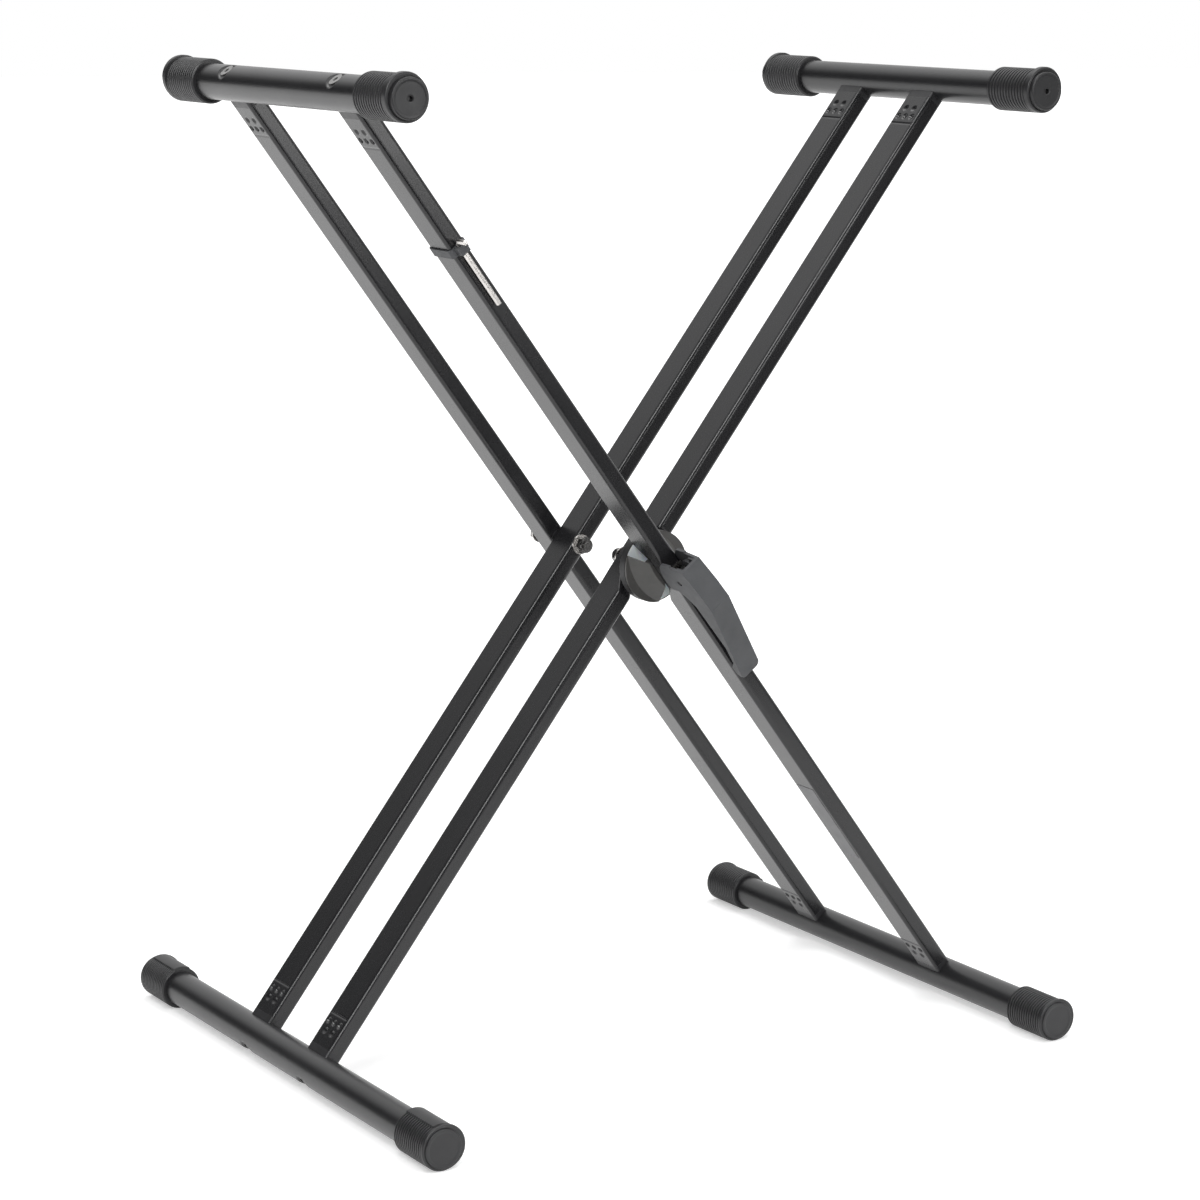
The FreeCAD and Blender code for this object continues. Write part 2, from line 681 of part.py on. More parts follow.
def lever_cheeks():
    """Thicker walls on both sides of the mouth of the head."""
    top_s, top_front = lever_top_front
    outline = lever_points([(top_s, top_front), (top_s, cheek_back), (cheek_bottom_s, cheek_back),
                            (cheek_bottom_s, lever_kick[1] + lever_web)])
    inner_ear = lever_half_n - lever_side_wall
    return [prism(outline, -inner_ear - 0.5, -cheek_inner_n),
            prism(outline, cheek_inner_n, inner_ear + 0.5)]


def lever_plan():
    """Block with the tip's rounded corners, seen from the front."""
    block = box(lever_tip_front[0], lever_top_back[0] + 1, lever_pin_y + lever_knee[1] - 1,
                lever_pin_y + ear_radius + 1, -lever_half_n, lever_half_n)
    corners = [edge for edge in block.Edges
               if all(abs(vertex.Point.x - lever_tip_front[0]) < 0.01 for vertex in edge.Vertexes)
               and abs(edge.tangentAt(edge.FirstParameter).y) > 0.9]
    return block.makeFillet(lever_tip_round, corners)


def cam_lobes():
    """Two off-centre discs that squeeze the arm when the lever lies along it."""
    lobes = []
    inner_ear = lever_half_n - lever_side_wall
    for side in (-1, 1):
        start = Vector(0, lever_pin_y + cam_eccentricity, side * cam_half_n_inner)
        end = Vector(0, lever_pin_y + cam_eccentricity, side * (inner_ear + 0.5))
        lobes.append(rod(cam_radius, start, end))
    return lobes


def clutch_lever():
    solid = prism(lever_outline(), -lever_half_n, lever_half_n).fuse(lever_ears())
    inner_ear = lever_half_n - lever_side_wall
    solid = solid.cut(prism(lever_hollow(), -inner_ear, inner_ear))
    solid = solid.common(lever_plan())
    solid = solid.fuse(lever_cheeks() + cam_lobes())
    hole = rod(lever_pin_diameter / 2 + lever_pin_clearance, Vector(0, lever_pin_y, -lever_half_n - 1),
               Vector(0, lever_pin_y, lever_half_n + 1))
    return solid.cut(hole)


def lever_pin():
    half = lever_half_n - lever_pin_recess
    return rod(lever_pin_diameter / 2, Vector(0, lever_pin_y, -half), Vector(0, lever_pin_y, half))


# ---- hex key, clip and label -----------------------------------------------------------------------
def hex_face(centre, axis_one, axis_two):
    corners = []
    for index in range(6):
        angle = math.radians(60 * index + 30)
        corners.append(centre + axis_one * (key_half * math.cos(angle))
                       + axis_two * (key_half * math.sin(angle)))
    return Part.Face(Part.makePolygon(corners + corners[:1]))


def hex_key():
    """L-shaped key: long leg down the arm, short leg standing out in front."""
    bend_start = Vector(key_bend_s - key_bend, key_axis_y, 0)
    face = hex_face(bend_start, Vector(0, 1, 0), Vector(0, 0, 1))
    long_leg = face.extrude(Vector(-(key_long_leg - key_bend), 0, 0))
    bend_centre = bend_start + Vector(0, -key_bend, 0)
    bend = face.revolve(bend_centre, Vector(0, 0, -1), 90)
    short_start = Vector(key_bend_s, key_axis_y - key_bend, 0)
    short_face = hex_face(short_start, Vector(1, 0, 0), Vector(0, 0, 1))
    short_leg = short_face.extrude(Vector(0, -(key_short_leg - key_bend), 0))
    return long_leg.fuse([bend, short_leg])


def key_clip():
    """Strap round the arm with a socket for the key's long leg."""
    top = key_bend_s - key_bend - clip_above
    grown = clip_wall
    outside = rounded_bar(top - clip_width, top, -outer_arm_y, arm_half + grown,
                          arm_width / 2 + grown, arm_corner + grown)
    socket_half = key_half + key_clearance + clip_boss_wall
    boss = box(top - clip_width, top, key_axis_y - socket_half, outer_front_face, -socket_half,
               socket_half)
    clip = outside.fuse(boss)
    tube = rounded_bar(top - clip_width - 1, top + 1, -outer_arm_y, arm_half, arm_width / 2, arm_corner)
    bore = rod(key_half + key_clearance, Vector(top - clip_width - 1, key_axis_y, 0),
               Vector(top + 1, key_axis_y, 0))
    return clip.cut([tube, bore])


def blank_label():
    """Plain label on the lower-left side of the front outer arm."""
    return box(label_middle_s - label_length / 2, label_middle_s + label_length / 2,
               -outer_arm_y - label_height / 2, -outer_arm_y + label_height / 2,
               arm_width / 2, arm_width / 2 + label_thickness)


# ---- the whole stand -------------------------------------------------------------------------------
def build():
    """All nodes by name."""
    loose_bore = pivot_diameter + 2 * pivot_clearance
    clutch_hole = pivot_diameter + 2 * pivot_clearance
    parts = {
        "outer_arm_front": outer_frame(arm(-outer_arm_y, clutch_hole, flat_side=1)),
        "outer_arm_rear": outer_frame(arm(outer_arm_y, loose_bore)),
        "inner_arm_front": inner_frame(arm(inner_front_y, clutch_hole, flat_side=-1)),
        "inner_arm_rear": inner_frame(arm(inner_rear_y, loose_bore)),
    }
    frames = {"outer": (outer_frame, {"front": -outer_arm_y, "rear": outer_arm_y}),
              "inner": (inner_frame, {"front": inner_front_y, "rear": inner_rear_y})}
    for frame, (place, arm_ys) in frames.items():
        for end in ("top", "foot"):
            parts[frame + "_" + end + "_bar"] = place(bar(end, list(arm_ys.values())))
            screws = [place(bar_screw(y_middle, end)) for y_middle in arm_ys.values()]
            parts[frame + "_" + end + "_bar_screws"] = Part.makeCompound(screws)
            for where, y_middle in arm_ys.items():
                parts[frame + "_" + end + "_insert_" + where] = place(end_insert(y_middle, end))
            for where, y_side in (("front", -1), ("rear", 1)):
                parts[frame + "_" + end + "_cap_" + where] = end_cap(frame, end, y_side)
    for name, shape in rear_pivot_parts().items():
        place = inner_frame if name == "rear_pivot_nut_washer" else outer_frame
        parts[name] = place(shape)
    parts["clutch_rear_half"] = inner_frame(clutch_rear_half())
    parts["clutch_friction_ring"] = inner_frame(friction_ring())
    parts["clutch_release_spring"] = inner_frame(clutch_spring())
    parts["clutch_washer"] = inner_frame(clutch_washer())
    parts["clutch_front_half"] = outer_frame(clutch_front_half())
    parts["clutch_pressure_plate"] = outer_frame(pressure_plate())
    parts["clutch_bolt"] = outer_frame(clutch_bolt())
    parts["clutch_lock_nut"] = outer_frame(clutch_nut())
    parts["clutch_lever"] = outer_frame(clutch_lever())
    parts["clutch_lever_pin"] = outer_frame(lever_pin())
    parts["hex_key"] = outer_frame(hex_key())
    parts["hex_key_clip"] = outer_frame(key_clip())
    parts["blank_label"] = outer_frame(blank_label())
    return parts


def main():
    os.makedirs("parts", exist_ok=True)
    for name, shape in sorted(build().items()):
        solids = shape.Solids
        if not solids or not all(solid.isValid() for solid in solids):
            raise ValueError("bad shape: " + name)
        shape.exportStep(os.path.join("parts", name + ".step"))
        print("%-28s solids %d  volume %.0f" % (name, len(solids), shape.Volume))


main()
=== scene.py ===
"""Looks of the folding keyboard stand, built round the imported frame.  Metres, Z up."""

import bmesh
import bpy
import json
import math
from mathutils import Matrix, Vector

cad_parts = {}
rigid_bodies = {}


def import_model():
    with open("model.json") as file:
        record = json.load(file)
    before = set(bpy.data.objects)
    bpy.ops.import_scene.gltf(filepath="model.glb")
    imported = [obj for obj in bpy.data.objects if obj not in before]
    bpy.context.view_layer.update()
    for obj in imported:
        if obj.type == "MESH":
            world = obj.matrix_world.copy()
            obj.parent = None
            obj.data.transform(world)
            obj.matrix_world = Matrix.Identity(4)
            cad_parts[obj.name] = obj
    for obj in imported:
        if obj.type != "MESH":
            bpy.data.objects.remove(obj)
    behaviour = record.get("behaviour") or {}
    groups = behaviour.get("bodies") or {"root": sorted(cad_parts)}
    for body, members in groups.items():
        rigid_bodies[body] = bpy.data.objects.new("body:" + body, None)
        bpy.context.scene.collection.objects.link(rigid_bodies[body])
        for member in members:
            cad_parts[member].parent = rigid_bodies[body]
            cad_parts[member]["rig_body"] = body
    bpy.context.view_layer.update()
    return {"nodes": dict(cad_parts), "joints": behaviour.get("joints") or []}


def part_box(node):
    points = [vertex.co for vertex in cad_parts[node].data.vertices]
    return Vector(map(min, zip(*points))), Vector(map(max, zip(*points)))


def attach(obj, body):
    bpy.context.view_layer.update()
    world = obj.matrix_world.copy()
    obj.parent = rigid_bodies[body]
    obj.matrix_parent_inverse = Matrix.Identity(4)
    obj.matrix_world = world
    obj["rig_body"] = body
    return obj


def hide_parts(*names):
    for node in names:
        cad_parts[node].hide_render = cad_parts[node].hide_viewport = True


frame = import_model()
NODES = frame["nodes"]
JOINTS = {joint["name"]: joint for joint in frame["joints"]}
MM = 0.001

# ---- places taken from the frame ---------------------------------------------------------------
PIVOT = Vector(JOINTS["fold"]["pos_m"])
PIVOT.y = 0.0
Y_AXIS = Vector((0, 1, 0))


def middle(node):
    low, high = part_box(node)
    return (low + high) / 2


def axes_of(frame_name):
    """Direction up the arms and the direction square to them."""
    along = middle(frame_name + "_top_bar") - PIVOT
    along.y = 0
    along.normalize()
    return along, along.cross(Y_AXIS)


AXES = {name: axes_of(name) for name in ("outer", "inner")}


def arm_point(frame_name, s, y, n):
    """A point given along an arm, in depth and square to the arm."""
    along, square = AXES[frame_name]
    return PIVOT + along * s + Y_AXIS * y + square * n


# ---- materials ----------------------------------------------------------------------------------
def seen_directly(tree):
    """1 for rays from the camera, and for those that glossy or clear surfaces send on."""
    path = tree.nodes.new("ShaderNodeLightPath")
    result = path.outputs["Is Camera Ray"]
    for kind in ("Is Glossy Ray", "Is Transmission Ray"):
        larger = tree.nodes.new("ShaderNodeMath")
        larger.operation = "MAXIMUM"
        tree.links.new(result, larger.inputs[0])
        tree.links.new(path.outputs[kind], larger.inputs[1])
        result = larger.outputs[0]
    return result


NOISE_ROUGHNESS = 0.55
PATCH_TO_GLOSS = 2.3            # patches of uneven roughness are finer than those of colour
EDGE_START = 0.52               # pointiness at which wear begins
EDGE_FULL = 0.60
WEAR_SCALE = 260
GRAIN_HEIGHT = 0.00008


class Graph:
    """A small helper round one material's node tree."""

    def __init__(self, name):
        self.material = bpy.data.materials.new(name)
        self.material.use_nodes = True
        self.nodes = self.material.node_tree.nodes
        self.links = self.material.node_tree.links
        self.shader = self.nodes["Principled BSDF"]
        self.coordinates = self.add("ShaderNodeTexCoord").outputs["Object"]

    def add(self, kind, **settings):
        node = self.nodes.new(kind)
        for key, value in settings.items():
            setattr(node, key, value)
        return node

    def join(self, source, target):
        self.links.new(source, target)

    def noise(self, scale, detail):
        texture = self.add("ShaderNodeTexNoise")
        texture.inputs["Scale"].default_value = scale
        texture.inputs["Detail"].default_value = detail
        texture.inputs["Roughness"].default_value = NOISE_ROUGHNESS
        self.join(self.coordinates, texture.inputs["Vector"])
        return texture.outputs["Fac"]

    def ramp(self, factor, stops):
        node = self.add("ShaderNodeValToRGB")
        elements = node.color_ramp.elements
        while len(elements) < len(stops):
            elements.new(0.5)
        for element, (place, value) in zip(elements, stops):
            element.position = place
            colour = value if isinstance(value, tuple) else (value, value, value)
            element.color = (*colour, 1)
        self.join(factor, node.inputs["Fac"])
        return node.outputs["Color"]

    def multiply(self, a, b):
        node = self.add("ShaderNodeMix", data_type="RGBA", blend_type="MULTIPLY")
        node.inputs["Factor"].default_value = 1.0
        self.join(a, node.inputs["A"])
        self.join(b, node.inputs["B"])
        return node.outputs["Result"]

    def blend(self, factor, source, colour):
        """From a linked colour to a plain one."""
        node = self.add("ShaderNodeMix", data_type="RGBA")
        self.join(factor, node.inputs["Factor"])
        self.join(source, node.inputs["A"])
        node.inputs["B"].default_value = (*colour, 1)
        return node.outputs["Result"]

    def bump(self, height, strength):
        node = self.add("ShaderNodeBump")
        node.inputs["Strength"].default_value = strength
        node.inputs["Distance"].default_value = GRAIN_HEIGHT
        self.join(height, node.inputs["Height"])
        self.join(node.outputs["Normal"], self.shader.inputs["Normal"])

    def worn_edges(self):
        """1 on convex edges, broken up by noise."""
        geometry = self.add("ShaderNodeNewGeometry")
        edge = self.ramp(geometry.outputs["Pointiness"], [(EDGE_START, 0.0), (EDGE_FULL, 1.0)])
        breakup = self.ramp(self.noise(WEAR_SCALE, 4), [(0.45, 0.0), (0.62, 1.0)])
        return self.multiply(edge, breakup)


    def set(self, **values):
        for key, value in values.items():
            self.shader.inputs[key.replace("_", " ")].default_value = value


def surface(name, dark, light, rough, patch, grain, grain_bump=0.2, metallic=0.0, ior=1.5,
            wear=None, **extra):
    """Common recipe: colour drifting between two tones, uneven roughness, a fine grain in relief."""
    graph = Graph(name)
    drift = graph.noise(patch, 4)
    colour = graph.ramp(drift, [(0.3, dark), (0.7, light)])
    if wear:
        colour = graph.blend(graph.worn_edges(), colour, wear)
    graph.join(colour, graph.shader.inputs["Base Color"])
    spread = graph.ramp(graph.noise(patch * PATCH_TO_GLOSS, 5), [(0.25, rough[0]), (0.75, rough[1])])
    graph.join(spread, graph.shader.inputs["Roughness"])
    graph.bump(graph.noise(grain, 2), grain_bump)
    graph.set(Metallic=metallic, IOR=ior, **extra)
    return graph.material


MATERIALS = {
    "black_paint": surface("black_paint", (0.0085, 0.0085, 0.0095), (0.013, 0.013, 0.0142), (0.24, 0.29),
                           patch=9, grain=520, grain_bump=0.025, ior=1.46,
                           wear=(0.035, 0.035, 0.037), Coat_Weight=0.15, Coat_Roughness=0.16),
    "bar_paint": surface("bar_paint", (0.0085, 0.0085, 0.0095), (0.013, 0.013, 0.0142), (0.33, 0.39),
                         patch=9, grain=520, grain_bump=0.05, ior=1.5,
                         wear=(0.035, 0.035, 0.037), Coat_Weight=0.2, Coat_Roughness=0.26),
    "cap_rubber": surface("cap_rubber", (0.012, 0.012, 0.013), (0.018, 0.018, 0.0195), (0.38, 0.46),
                          patch=30, grain=1500, grain_bump=0.1),
    "insert_plastic": surface("insert_plastic", (0.012, 0.012, 0.013), (0.019, 0.019, 0.021),
                              (0.36, 0.46), patch=60, grain=1400),
    "black_screw": surface("black_screw", (0.24, 0.238, 0.235), (0.32, 0.317, 0.312), (0.24, 0.34),
                           patch=120, grain=1800, metallic=0.85),
    "cast_grey": surface("cast_grey", (0.046, 0.045, 0.043), (0.062, 0.060, 0.057), (0.36, 0.46),
                         patch=70, grain=1100, grain_bump=0.3),
    # darker copy of cast_grey: partly the rear half's own darker tone, partly painted shade for the shadow
    # it sits in behind the front half
    "cast_dark": surface("cast_dark", (0.011, 0.011, 0.012), (0.017, 0.017, 0.018), (0.42, 0.55),
                         patch=70, grain=1100, grain_bump=0.3),
    "white_nylon": surface("white_nylon", (0.86, 0.86, 0.85), (0.91, 0.91, 0.90), (0.40, 0.5),
                           patch=60, grain=1200, Subsurface_Weight=0.15),
    "lever_plastic": surface("lever_plastic", (0.060, 0.062, 0.066), (0.074, 0.076, 0.080),
                             (0.50, 0.62), patch=50, grain=1900, grain_bump=0.35,
                             ior=1.42),
    "label_grey": surface("label_grey", (0.10, 0.10, 0.105), (0.125, 0.125, 0.13), (0.34, 0.42),
                          patch=35, grain=700, grain_bump=0.08),
    "dark_steel": surface("dark_steel", (0.15, 0.148, 0.145), (0.21, 0.207, 0.203), (0.24, 0.30),
                          patch=90, grain=1500, grain_bump=0.03, metallic=1.0),
    "bright_steel": surface("bright_steel", (0.52, 0.50, 0.48), (0.66, 0.64, 0.62), (0.24, 0.32),
                            patch=90, grain=1500, grain_bump=0.03, metallic=1.0),
}


# ---- mesh helpers ---------------------------------------------------------------------------------
def add_object(name, mesh, material, body, *replaced, slot=None):
    mesh.name = name
    piece = bpy.data.objects.new(name, mesh)
    bpy.context.scene.collection.objects.link(piece)
    mesh.materials.clear()
    mesh.materials.append(MATERIALS[material])
    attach(piece, body)
    if replaced:
        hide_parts(*replaced)
    return piece


WELD_DISTANCE = 2e-6
FLAT_ANGLE = 0.6                # degrees between triangles that belong to one flat face
BEVEL_PROFILE = 0.6


def smooth_mesh(mesh, angle=35):
    mesh.polygons.foreach_set("use_smooth", [True] * len(mesh.polygons))
    mesh.set_sharp_from_angle(angle=math.radians(angle))


def weighted_normals(mesh, limit):
    """Corner normals ruled by the larger faces, so that flat faces stay flat beside rounded edges."""
    around = [[] for vertex in mesh.vertices]
    for face in mesh.polygons:
        for vertex in face.vertices:
            around[vertex].append((face.normal.copy(), face.area))
    least = math.cos(math.radians(limit))
    normals = []
    for face in mesh.polygons:
        for vertex in face.vertices:
            total = Vector()
            for normal, area in around[vertex]:
                if normal.dot(face.normal) > least:
                    total += normal * area
            normals.append(total.normalized() if total.length > 0 else face.normal.copy())
    mesh.normals_split_custom_set(normals)


def body_of(node):
    return NODES[node]["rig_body"]


def softened(node, width, material, segments=2, angle=28):
    """A copy of a small CAD node with its sharp edges rounded, in place of the node."""
    work = bmesh.new()
    work.from_mesh(NODES[node].data)
    bmesh.ops.remove_doubles(work, verts=work.verts, dist=WELD_DISTANCE)
    bmesh.ops.dissolve_limit(work, angle_limit=math.radians(FLAT_ANGLE), verts=work.verts,
                             edges=work.edges)
    sharp = [edge for edge in work.edges
             if len(edge.link_faces) == 2 and edge.calc_face_angle() > math.radians(angle)]
    bmesh.ops.bevel(work, geom=sharp, offset=width, segments=segments, profile=BEVEL_PROFILE,
                    affect="EDGES", clamp_overlap=True, harden_normals=False)
    bmesh.ops.recalc_face_normals(work, faces=work.faces)
    mesh = bpy.data.meshes.new(node)
    work.to_mesh(mesh)
    work.free()
    limit = 90 / segments - 1   # just less than one step of a rounded right angle
    smooth_mesh(mesh, limit)
    weighted_normals(mesh, limit)
    return add_object(node + "_soft", mesh, material, body_of(node), node)


def grid_mesh(name, rings):
    """Mesh from rings of equal length, joined in order, with fans at the ends."""
    count = len(rings[0])
    points = [point for ring in rings for point in ring]
    faces = []
    for row in range(len(rings) - 1):
        for column in range(count):
            after = (column + 1) % count
            faces.append((row * count + column, row * count + after,
                          (row + 1) * count + after, (row + 1) * count + column))
    for row in (0, len(rings) - 1):
        points.append(sum(rings[row], Vector()) / count)
        for column in range(count):
            faces.append((row * count + column, row * count + (column + 1) % count, len(points) - 1))
    mesh = bpy.data.meshes.new(name)
    mesh.from_pydata(points, [], faces)
    work = bmesh.new()
    work.from_mesh(mesh)
    bmesh.ops.recalc_face_normals(work, faces=work.faces)
    work.to_mesh(mesh)
    work.free()
    smooth_mesh(mesh)
    return mesh


def ease(value):
    """Smooth step from 0 to 1."""
    value = max(0.0, min(1.0, value))
    return value * value * (3 - 2 * value)


def span(start, stop, step):
    """Even stations from start to stop, no further apart than step."""
    pieces = max(1, math.ceil(abs(stop - start) / step))
    return [start + (stop - start) * index / pieces for index in range(pieces)]


# ---- arms -----------------------------------------------------------------------------------------
ARM_HALF_DEPTH = 15.75 * MM
ARM_HALF_WIDTH = 7.5 * MM
ARM_CORNER = 3.0 * MM
FLAT_DEPTH = 11.5 * MM
FLAT_HALF = 16.0 * MM
FLAT_RAMP = 15.0 * MM
FLAT_SOFTNESS = 0.14            # length of the rounded bends, as a share of the ramp
FLAT_ZONE = 34 * MM
CRIMP_ZONE = 36 * MM
LONG_STEP = 14 * MM             # spacing of the rings along the plain, pressed and crimped lengths
FLAT_STEP = 1.1 * MM
CRIMP_STEP = 0.6 * MM
CORNER_STEPS = 6
DEPTH_STEPS = 34
WIDTH_STEPS = 6
# from the end, off the middle, radius and depth of each dent
CRIMPS = [(21 * MM, offset * MM, 3.1 * MM, 2.1 * MM) for offset in (-9, 0, 9)]
CRIMPS += [(12.5 * MM, offset * MM, 3.4 * MM, 1.3 * MM) for offset in (-5.5, 5.5)]
CRIMP_LINE = 28 * MM
CRIMP_LINE_HALF = 1.3 * MM
CRIMP_LINE_DEPTH = 0.5 * MM
CRIMP_LINE_REACH = 13 * MM
CRIMP_FLOOR = 0.3               # flat middle of each dent, as a share of its radius


def arm_section():
    """Points (y, n) round the tube, with closer points on the wide faces."""
    flat_y = ARM_HALF_DEPTH - ARM_CORNER
    flat_n = ARM_HALF_WIDTH - ARM_CORNER
    corners = [(flat_y, flat_n, 0), (-flat_y, flat_n, 90), (-flat_y, -flat_n, 180), (flat_y, -flat_n, 270)]

    def on_corner(y, n, degrees):
        turn = math.radians(degrees)
        return y + ARM_CORNER * math.cos(turn), n + ARM_CORNER * math.sin(turn)

    points = []
    for index, (y, n, start) in enumerate(corners):
        for step in range(CORNER_STEPS + 1):
            points.append(on_corner(y, n, start + 90 * step / CORNER_STEPS))
        first = on_corner(y, n, start + 90)
        last = on_corner(*corners[(index + 1) % 4])
        steps = DEPTH_STEPS if index % 2 == 0 else WIDTH_STEPS
        for step in range(1, steps):
            share = step / steps
            points.append(tuple(a + (b - a) * share for a, b in zip(first, last)))
    return points


def flat_amount(s):
    """How far the tube is pressed in at s, as a share of the full depth, with rounded bends."""
    travel = (FLAT_HALF + FLAT_RAMP - abs(s)) / FLAT_RAMP
    if travel <= -FLAT_SOFTNESS:
        return 0.0
    if travel < FLAT_SOFTNESS:
        return (travel + FLAT_SOFTNESS) ** 2 / (4 * FLAT_SOFTNESS)
    if travel < 1 - FLAT_SOFTNESS:
        return travel
    if travel < 1 + FLAT_SOFTNESS:
        return 1 - (1 + FLAT_SOFTNESS - travel) ** 2 / (4 * FLAT_SOFTNESS)
    return 1.0


def crimp_dent(from_end, y):
    """Depth of the dents that lock the end insert."""
    depth = 0.0
    for place, offset, radius, deep in CRIMPS:
        away = math.hypot(from_end - place, y - offset) / radius
        if away < 1:
            depth = max(depth, deep * (1 - ease((away - CRIMP_FLOOR) / (1 - CRIMP_FLOOR))))
    if abs(y) < CRIMP_LINE_REACH:
        line = abs(from_end - CRIMP_LINE) / CRIMP_LINE_HALF
        depth = max(depth, CRIMP_LINE_DEPTH * (1 - ease(line)))
    return depth


def arm_stations(low, high, pressed):
    """Stations up an arm, close together at the crimped ends and in the pressed part."""
    first, last = low + CRIMP_ZONE, high - CRIMP_ZONE
    stations = span(low, first, CRIMP_STEP)
    if pressed:
        stations += span(first, -FLAT_ZONE, LONG_STEP) + span(-FLAT_ZONE, FLAT_ZONE, FLAT_STEP)
        stations += span(FLAT_ZONE, last, LONG_STEP)
    else:
        stations += span(first, last, LONG_STEP)
    return stations + span(last, high, CRIMP_STEP) + [high]


def arm_piece(frame_name, where, pressed_side):
    """Arm pressed flat beside the clutch on one side: 1 the rear, -1 the front, 0 neither."""
    node = frame_name + "_arm_" + where
    along = AXES[frame_name][0]
    offsets = [(vertex.co - PIVOT).dot(along) for vertex in NODES[node].data.vertices]
    low, high = min(offsets), max(offsets)
    centre_y = middle(node).y
    section = arm_section()
    rings = []
    for s in arm_stations(low, high, pressed_side):
        from_end = min(s - low, high - s)
        pressed = flat_amount(s) * FLAT_DEPTH if pressed_side else 0.0
        ring = []
        for y, n in section:
            share = (y * pressed_side / ARM_HALF_DEPTH + 1) / 2 if pressed_side else 0.0
            squeezed = y - pressed_side * pressed * share
            depth = crimp_dent(from_end, y) if abs(n) > ARM_HALF_WIDTH - 0.2 * MM else 0.0
            ring.append(arm_point(frame_name, s, centre_y + squeezed, n - math.copysign(depth, n)))
        rings.append(ring)
    mesh = grid_mesh(node, rings)
    add_object(node + "_tube", mesh, "black_paint", body_of(node), node)


# ---- round bars ---------------------------------------------------------------------------------
BAR_RADIUS = 14.3 * MM
DIMPLE_RADIUS = 6.3 * MM
DIMPLE_RIM = 9.3 * MM
DIMPLE_DEPTH = 1.9 * MM
DIMPLE_ZONE = 11 * MM
DIMPLE_STEP = 0.6 * MM
BAR_STEP = 12 * MM
BAR_SIDES = 144


def bar_piece(frame_name, end):
    """Round bar whose screw dimples are drawn into the wall opposite the arms."""
    node = frame_name + "_" + end + "_bar"
    along, square = AXES[frame_name]
    outward = along if end == "top" else -along
    low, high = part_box(node)
    centre = middle(node)
    marks = sorted(middle(frame_name + "_arm_" + where).y for where in ("front", "rear"))
    stations = []
    reached = low.y
    for mark in marks:
        stations += span(reached, mark - DIMPLE_ZONE, BAR_STEP)
        reached = mark + DIMPLE_ZONE
        stations += span(mark - DIMPLE_ZONE, reached, DIMPLE_STEP)
    stations += span(reached, high.y, BAR_STEP) + [high.y]
    rings = []
    for y in stations:
        near = min(marks, key=lambda mark: abs(mark - y))
        ring = []
        for index in range(BAR_SIDES):
            turn = 2 * math.pi * index / BAR_SIDES
            direction = outward * math.cos(turn) + square * math.sin(turn)
            away = math.hypot(y - near, BAR_RADIUS * math.sin(turn))
            depth = 0.0
            if math.cos(turn) > 0 and away < DIMPLE_RIM:
                depth = DIMPLE_DEPTH * (1 - ease((away - DIMPLE_RADIUS) / (DIMPLE_RIM - DIMPLE_RADIUS)))
            ring.append(Vector((centre.x, y, centre.z)) + direction * BAR_RADIUS - outward * depth)
        rings.append(ring)
    mesh = grid_mesh(node, rings)
    add_object(node + "_tube", mesh, "bar_paint", body_of(node), node, slot="black_paint")


# ---- end caps -------------------------------------------------------------------------------------
CAP_RADIUS = 18.0 * MM
CAP_BOSS = {"top": 3.5 * MM, "foot": 1.2 * MM}
CAP_BOSS_RADIUS = 15.8 * MM
CAP_COLLAR = {"top": 6.0 * MM, "foot": 4.0 * MM}
CAP_OFFSET = 2.0 * MM
CAP_BORE = 14.38 * MM
RIB_PITCH = {"top": 3.65 * MM, "foot": 2.9 * MM}
GROOVE_DEPTH = 1.1 * MM
PAD_HEIGHT = 1.3 * MM
PAD_HALF = 25.0                 # degrees, as are the turns, which go from +X towards +Z
PAD_FADE = 5.0
COLLAR_TURN = {"outer_top": 130.0, "inner_top": 60.0, "inner_foot": 15.0, "outer_foot": 8.0}
PAD_TURN = {"inner": 87.0, "outer": 8.0}
CAP_HOLE = 2.2 * MM
CAP_HOLE_DEPTH = 3.0 * MM
CAP_SIDES = 160
CAP_EDGE = 1.6 * MM             # rounding of the collar
CAP_EDGE_STEPS = 6
BOSS_BEND = {"top": 1.1 * MM, "foot": 0.6 * MM}
BOSS_STEPS = 5
# radius and depth of the rings on the face, from the rim inwards
BOSS_RINGS = [(13.2, 0.0), (12.6, 0.25), (12.3, 0.25), (9.0, 0.25), (6.0, 0.25), (3.4, 0.25)]
# share of the pitch and share of the groove's depth, for one groove and one rib
RIB_SHAPE = [(0.10, 1.0), (0.24, 0.95), (0.30, 0.7), (0.36, 0.3), (0.42, 0.08), (0.50, 0.0),
             (0.70, 0.0), (0.86, 0.0), (0.92, 0.08), (0.97, 0.4), (1.0, 0.8)]
COLLAR_SHARPNESS = 1.3


def rounding(face, radius, bend, steps, kind):
    """Quarter circle from the side of a round piece to its face."""
    turns = [math.radians(90 * step / steps) for step in range(steps + 1)]
    return [(face + bend * (1 - math.sin(turn)), radius - bend * (1 - math.cos(turn)), kind)
            for turn in turns]


